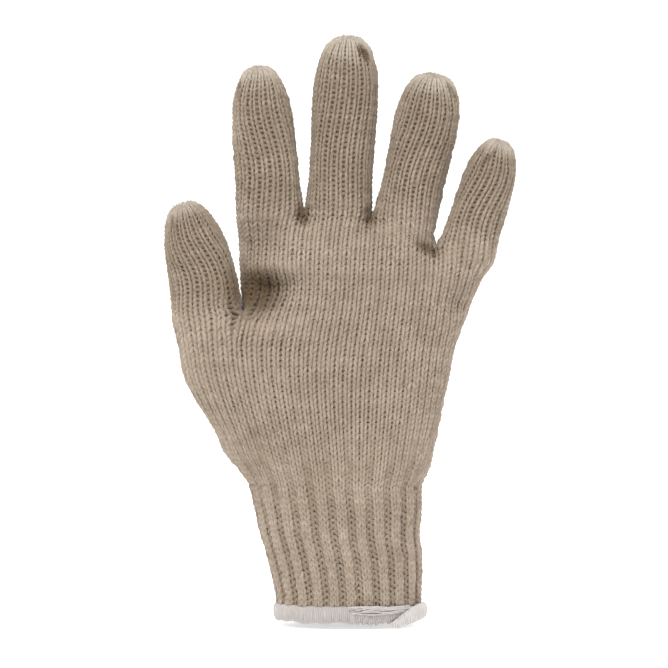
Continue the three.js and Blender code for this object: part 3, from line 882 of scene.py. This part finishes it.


# A thin closed shell inside the wall, painted dark brown as shade seen through the loops, and the hairs.
def groundShell(name, rings, closed, rng):
    fibres = hairs(name, rings, closed, rng)
    rows = np.arange(0, len(rings), stitch["groundStep"])
    if name == "lower_palm":
        rows = rows[(rows >= stitch["coarseGroundTop"]) | (rows % stitch["coarseGroundStep"] == 0)]
    rings = rings[rows]
    upwards = np.gradient(rings, axis=0)
    across = np.roll(rings, -1, axis=1) - np.roll(rings, 1, axis=1)
    outwards = unit(np.cross(across, upwards))
    depth = glove["fabric"] / 2 + stitch["groundDepth"]
    outer = rings - outwards * depth
    inner = rings - outwards * (depth + stitch["groundThickness"])
    if closed:
        layers = np.concatenate([inner[:-2][::-1], outer[:-1]])
        facing = np.concatenate([outwards[:-2][::-1], outwards[:-1]])
    else:
        layers = np.concatenate([outer, inner[::-1]])
        facing = np.concatenate([outwards, outwards[::-1]])
    points = layers.reshape(-1, 3)
    faces = shellFaces(*layers.shape[:2], closed)
    isHair = [0] * len(faces) + [1] * (len(fibres) // 3)
    faces += [(i, i + 1, i + 2) for i in range(len(points), len(points) + len(fibres), 3)]
    shade = np.concatenate([shadeAt(points, facing.reshape(-1, 3)), np.zeros(len(fibres))])
    everything = np.concatenate([points, fibres]) * mm
    ground = meshObject(name + "_ground", everything, faces=faces, attributes={"shade": shade})
    ground.data.materials.append(shadedCotton)
    ground.data.materials.append(cottonYarn)
    ground.data.polygons.foreach_set("material_index", isHair)
    ground.data.shade_smooth()
    return ground


knit = knitTree()
tubes = joinedTubes()
rings = relaxedRings(tubes)
print("wales laid out")
rng = np.random.default_rng(stitch["seed"])
for name, tube in tubes.items():
    piece = yarnPaths(name, tube, rings[name], rng)
    ground = groundShell(name, rings[name], tube["closed"], rng)
    applied(piece, knit, {
        "Yarn radius": stitch["radius"] * mm,
        "Loop reach": stitch["reach"],
        "Neck": stitch["neck"],
        "Closeness": stitch["closeness"],
        "Depth": stitch["depth"] * mm,
        "Ground": ground,
        "Material": cottonYarn,
    })
    bpy.data.objects.remove(ground)
    standsFor(piece, name)
    print(name, "knitted,", len(piece.data.loops) - 2 * len(piece.data.polygons), "triangles")

# The hem: a thread wound closely round a band, which covers the cuff's cut edge, and its bunched end.
hem = {
    "thickness": 4.2,
    "clearance": 0.15,
    "threadRadius": 0.55,
    "spacing": 0.8,  # from turn to turn
    "samples": 12,  # points in a turn
    "sides": 4,
    "steps": 720,  # of the line that the end follows
    "lap": 0.9,  # how far it lies over the cuff
    "wave": 0.25,  # unevenness of the band
    "waves": (7, 17),  # of each kind round the band
    "waveRise": 0.6,  # what a wave does to the band's middle, and to its thickness and height
    "waveSwell": 0.4,
    "threadUneven": 0.08,
    "threadTone": 0.1,
    "threadTwist": 1.2,
    "measureSteps": 200,
    "ruffle": 0.5,  # where the thread ends, the band is gathered
    "ruffles": 62,
    "ruffleSink": 0.4,
    "ruffleFrom": 0.745,  # share of the way round from the right, over the back and the left
    "ruffleTo": 0.93,
    "ruffleFade": 0.00375,
    "seed": 3,
}
tail = {
    "thickness": 4.6,
    "length": 19.0,
    "turns": 26,
    "thinnest": 0.2,  # the least that a turn reaches from the bunch's middle
    "sunk": 0.6,  # how deep it lies in the hem
    "start": 0.035,  # share of the way round from the right towards the palm
    "round": [0, 0.12, 0.35, 0.55, 0.74, 0.88, 1],
    "up": [0.75, 0.72, 0.62, 0.48, 0.25, 0.04, -0.06],
    "thick": [0.5, 0.75, 0.85, 0.8, 0.7, 0.6, 0.3],
    "tall": [0.9, 1.45, 1.6, 1.55, 1.3, 0.95, 0.5],
}
strands = {  # loose threads that run into the bunch along the hem's upper edge
    "count": 13,
    "samples": 40,
    "fullness": 0.5,
    "length": 27.0,
    "lengths": (0.5, 1),  # shares of it
    "starts": (0.35, 0.8),  # along the bunch
    "heights": (0.62, 1.04),  # shares of the hem's height
    "sag": 0.4,
    "waves": (0.6, 1.6),
    "stand": 0.05,  # how far they lie off the band, and how unevenly
    "standMore": 0.3,
}
hemTop = glove["hemHeight"] - hem["clearance"]
hemSide = (hem["thickness"] - glove["fabric"]) / 2  # from the wall's outside to the band's
threadRadius = hem["threadRadius"]


def windTree():
    board, given = geometryTree("wound thread", ["Thread radius"])
    phase = board.attribute("phase")
    outwards, upwards = (board.attribute(name, "FLOAT_VECTOR") for name in ("outwards", "upwards"))
    offset = outwards * phase.to("COSINE") + upwards * phase.to("SINE")
    path = board.add("GeometryNodeSetPosition", inputs={"Geometry": given["Geometry"], "Offset": offset})
    thread = threadTube(board, path, hem["sides"], given["Thread radius"], True)
    return finishTree(board, thread, given["Material"])


def hemLine(steps):
    line = cuffRing(0, steps, 0)
    line[:, 2] = (hemTop + hem["lap"]) / 2
    outwards = unit(np.cross(np.roll(line, -1, axis=0) - np.roll(line, 1, axis=0), [0, 0, 1]))
    return line, outwards


def lineLength(steps):
    return np.linalg.norm(np.diff(hemLine(steps)[0], axis=0), axis=1).sum()


def straightUp(heights):
    return np.stack([0 * heights, 0 * heights, heights], 1)


# A thread that winds round a line of centres, or follows it where outwards and upwards are nothing.
def windings(name, material, centres, outwards, upwards, phase, edges, fullness):
    count = len(centres)
    piece = meshObject(name, centres * mm, edges, attributes={
        "phase": phase,
        "outwards": outwards * mm,
        "upwards": upwards * mm,
        "fullness": fullness + hem["threadUneven"] * rng.standard_normal(count),
        "tone": hem["threadTone"] * rng.standard_normal(count),
        "shade": shadeAt(centres, unit(outwards)),
        "turned": hem["threadTwist"] * np.arange(count),
    })
    return applied(piece, wind, {"Thread radius": threadRadius * mm, "Material": material})


wind = windTree()
rng = np.random.default_rng(hem["seed"])


def makeHem():
    turns = round(lineLength(hem["measureSteps"]) / hem["spacing"])
    steps = turns * hem["samples"]
    line, outwards = hemLine(steps)
    share = np.arange(steps) / steps
    few, many = hem["waves"]
    wave = hem["wave"] * (np.sin(turn * few * share + 1) + np.sin(turn * many * share))
    gathered = (share - hem["ruffleFrom"]) * (hem["ruffleTo"] - share) / hem["ruffleFade"]
    gathered = np.clip(gathered, 0, 1)
    wave = wave + hem["ruffle"] * gathered * (np.sin(turn * hem["ruffles"] * share) - hem["ruffleSink"])
    centres = line - outwards * (glove["fabric"] / 2) + straightUp(wave * hem["waveRise"])
    halfThick = hem["thickness"] / 2 - threadRadius + wave * hem["waveSwell"]
    halfHigh = (hemTop + hem["lap"]) / 2 - threadRadius - wave * hem["waveSwell"]
    edges = [(i, (i + 1) % steps) for i in range(steps)]
    return windings("hem_threads", hemThread, centres, outwards * halfThick[:, None], straightUp(halfHigh),
                    turn * turns * share, edges, 1)


standsFor(makeHem(), "overlock_hem")


def strandLine(line, outwards, length):
    steps = hem["steps"]
    run = np.linspace(0, 1, strands["samples"])
    begin = tail["start"] * length + tail["length"] * rng.uniform(*strands["starts"])
    end = run * strands["length"] * rng.uniform(*strands["lengths"])
    place = ((steps - (begin + end) / length * steps) % steps).astype(int)
    sag = strands["sag"] * np.sin(turn * run * rng.uniform(*strands["waves"]) + rng.uniform(0, turn))
    stand = hemSide + strands["stand"] + strands["standMore"] * rng.random()
    strand = line[place] + outwards[place] * stand
    strand[:, 2] = glove["hemHeight"] * rng.uniform(*strands["heights"]) + sag
    return strand


def makeTail():
    steps = tail["turns"] * hem["samples"]
    line, outwards = hemLine(hem["steps"])
    length = lineLength(hem["steps"])
    share = np.linspace(0, 1, steps)
    place = hem["steps"] - (tail["start"] + share * tail["length"] / length) * hem["steps"]
    place = (place % hem["steps"]).astype(int)
    thick, tall, up = (np.interp(share, tail["round"], tail[column]) for column in ("thick", "tall", "up"))
    halfThick = tail["thickness"] * thick / 2
    bunch = line[place] + outwards[place] * (hemSide - tail["sunk"] + halfThick)[:, None]
    bunch[:, 2] = glove["hemHeight"] * up
    across = outwards[place] * np.maximum(halfThick - threadRadius, tail["thinnest"])[:, None]
    above = straightUp(np.maximum(tail["thickness"] * tall / 2 - threadRadius, tail["thinnest"]))
    edges = [(i, i + 1) for i in range(steps - 1)]
    lines = [strandLine(line, outwards, length) for _ in range(strands["count"])]
    loose = strands["samples"] * strands["count"]
    for first in range(steps, steps + loose, strands["samples"]):
        edges += [(i, i + 1) for i in range(first, first + strands["samples"] - 1)]
    still = np.zeros((loose, 3))
    phase = np.concatenate([turn * tail["turns"] * share, np.zeros(loose)])
    fullness = np.concatenate([np.ones(steps), np.full(loose, strands["fullness"])])
    centres = np.concatenate([bunch, *lines])
    across, above = np.concatenate([across, still]), np.concatenate([above, still])
    return windings("thread_end", endHighlightThread, centres, across, above, phase, edges, fullness)


standsFor(makeTail(), "thread_tail")
print("hem wound")

# The studio: a pale floor that curves up behind, soft light from the front and above.
studio = {
    "floorDrop": 0.5,  # below the part
    "floorSize": 6000.0,
    "floorBend": 1000.0,
    "bendSteps": 16,
    "white": (0.93, 0.93, 0.93, 1),
    "worldLight": 0.4,
    "glow": 0.65,
    "cameraDistance": 1200.0,
    "cameraX": -5.1,
    "cameraHeight": 121.4,
    "lens": 151.8,
    "sensor": 36.0,
    "farthest": 50.0,  # metres
}


def makeFloor():
    low = (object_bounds()[0].z / mm - studio["floorDrop"]) * mm
    size, bend = studio["floorSize"] * mm, studio["floorBend"] * mm
    profile = [(-size / 2, low)]
    for angle in np.linspace(0, math.pi / 2, studio["bendSteps"] + 1):
        profile.append((bend * (1 + math.sin(angle)), low + bend * (1 - math.cos(angle))))
    profile.append((2 * bend, low + size / 2))
    points = [(x, y, z) for y, z in profile for x in (-size / 2, size / 2)]
    faces = [(2 * i, 2 * i + 1, 2 * i + 3, 2 * i + 2) for i in range(len(profile) - 1)]
    floor = meshObject("studio_floor", points, faces=faces)
    floor.data.shade_smooth()
    material, _, _ = newMaterial("studio white", {
        "Roughness": 0.9, "Base Color": studio["white"], "Emission Color": studio["white"],
        "Emission Strength": studio["glow"],
    })
    floor.data.materials.append(material)


def makeWorld():
    world = bpy.data.worlds.new("soft light")
    world.use_nodes = True
    background = world.node_tree.nodes["Background"]
    background.inputs["Color"].default_value = (1, 1, 1, 1)
    background.inputs["Strength"].default_value = studio["worldLight"]
    scene.world = world


def makeCamera():
    camera = bpy.data.objects.new("camera", bpy.data.cameras.new("camera"))
    camera.data.sensor_width = studio["sensor"]
    camera.data.lens = studio["lens"]
    camera.data.clip_end = studio["farthest"]
    camera.location = Vector((studio["cameraX"], -studio["cameraDistance"], studio["cameraHeight"])) * mm
    camera.rotation_euler = (math.pi / 2, 0, 0)
    scene.collection.objects.link(camera)
    scene.camera = camera


lights = {  # in metres and watts
    "top light": {"place": (-0.2, -0.6, 1.15), "aim": (0, 0, 0.12), "size": 0.6, "power": 20},
    "left light": {"place": (-0.9, 0.35, 0.25), "aim": (0, 0, 0.12), "size": 0.5, "power": 5},
    "right light": {"place": (0.9, 0.35, 0.25), "aim": (0, 0, 0.12), "size": 0.5, "power": 5},
    "front light": {"place": (0.3, -1.6, 0.35), "aim": (0, 0, 0.08), "size": 0.9, "power": 8},
}


def areaLight(name, place, aim, size, power):
    light = bpy.data.objects.new(name, bpy.data.lights.new(name, "AREA"))
    light.data.shape = "DISK"
    light.data.size = size
    light.data.energy = power
    light.location = place
    light.rotation_euler = (Vector(aim) - Vector(place)).to_track_quat("-Z", "Y").to_euler()
    scene.collection.objects.link(light)


makeFloor()
makeWorld()
makeCamera()
for name, light in lights.items():
    areaLight(name, **light)
scene.view_settings.view_transform = "Standard"
print("studio set")
